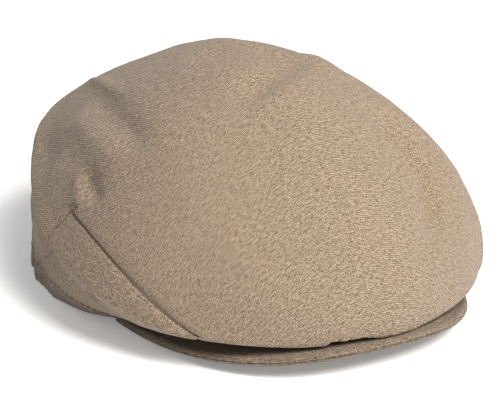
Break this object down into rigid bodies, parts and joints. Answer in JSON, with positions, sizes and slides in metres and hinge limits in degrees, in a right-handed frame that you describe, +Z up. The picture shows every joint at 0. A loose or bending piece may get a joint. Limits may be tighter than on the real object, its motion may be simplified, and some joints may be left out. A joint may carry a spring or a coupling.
{
  "type": "newsboy cap",
  "caption": "Soft linen flat cap with a domed top panel folded into a lip over a short stiff arched visor, gusset side panels, a lined crown and an elasticated rear hem.",
  "frame": {"origin": "middle of the cap's overall length and width, on the plane that its rear hem rests on", "axes": "+Z up from the hem towards the summit; +Y from the visor towards the back of the head; +X towards the wearer's left"},
  "size_m": [0.203, 0.2505, 0.113],
  "materials": {
    "linen": "woven matte",
    "lining": "fine woven matte",
    "sweatband_twill": "twill matte",
    "elastic": "matte",
    "board": "matte",
    "thread": "matte",
    "label": "satin woven",
    "tape": "matte"
  },
  "bodies": {
    "root": {"crown_top_panel": "linen", "side_panel_left": "linen", "side_panel_right": "linen", "lip_facing": "linen", "side_seam_tape_left": "tape", "side_seam_tape_right": "tape", "lining_top": "lining", "lining_side_left": "lining", "lining_side_right": "lining", "rear_casing": "linen", "rear_elastic": "elastic", "casing_stitching": "thread", "sweatband": "sweatband_twill", "size_label": "label", "visor_top_cover": "linen", "visor_under_cover": "linen", "visor_board": "board", "visor_seam_tape": "tape", "visor_topstitching": "thread", "lip_tack_stitches": "thread"}
  },
  "joints": []
}
